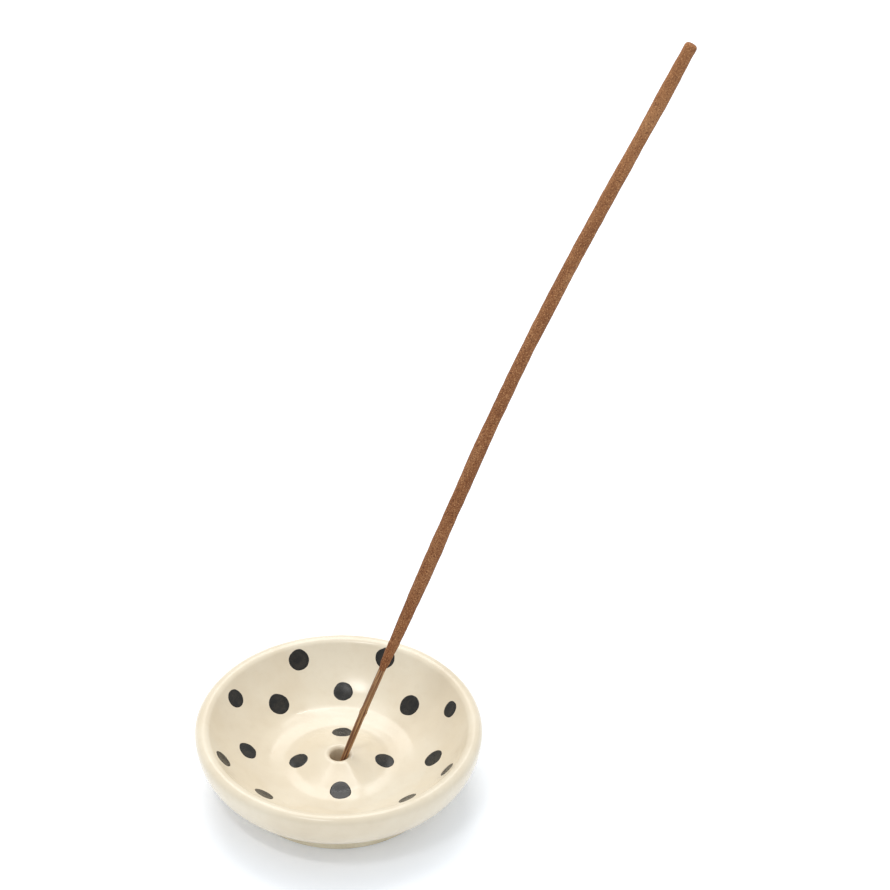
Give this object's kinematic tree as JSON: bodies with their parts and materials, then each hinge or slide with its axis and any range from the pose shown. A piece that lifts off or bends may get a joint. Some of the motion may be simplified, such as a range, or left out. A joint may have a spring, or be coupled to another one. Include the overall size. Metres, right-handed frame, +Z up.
{
  "type": "incense burner",
  "caption": "Small glazed ceramic dish with a pierced hill in the middle, painted spots inside, a turned foot, and an incense stick leaning in the hole.",
  "frame": {"origin": "centre of the foot's resting plane, on the dish's axis", "axes": "+Z up along the dish's axis; the stick leans towards +X and a little towards +Y"},
  "size_m": [0.1348, 0.08, 0.225],
  "materials": {
    "clay": "bare fired stoneware, dry and slightly sandy",
    "glaze": "cream gloss glaze with a soft sheen",
    "paint": "near-black iron spots under the gloss",
    "bamboo": "split bamboo, dry, with lengthwise grain",
    "incense": "dry rolled incense paste, matt and grainy"
  },
  "bodies": {
    "dish": {"clay_body": "clay", "glaze_coat": "glaze", "hill_spots": "paint", "lower_spots": "paint", "upper_spots": "paint"},
    "stick": {"bamboo_core": "bamboo", "incense_coat": "incense"}
  },
  "joints": [
    {"name": "stick_lift", "type": "slide", "parent": "dish", "child": "stick", "axis": [0.3245, 0.1181, 0.9385], "range_m": [0, 0.04]}
  ]
}
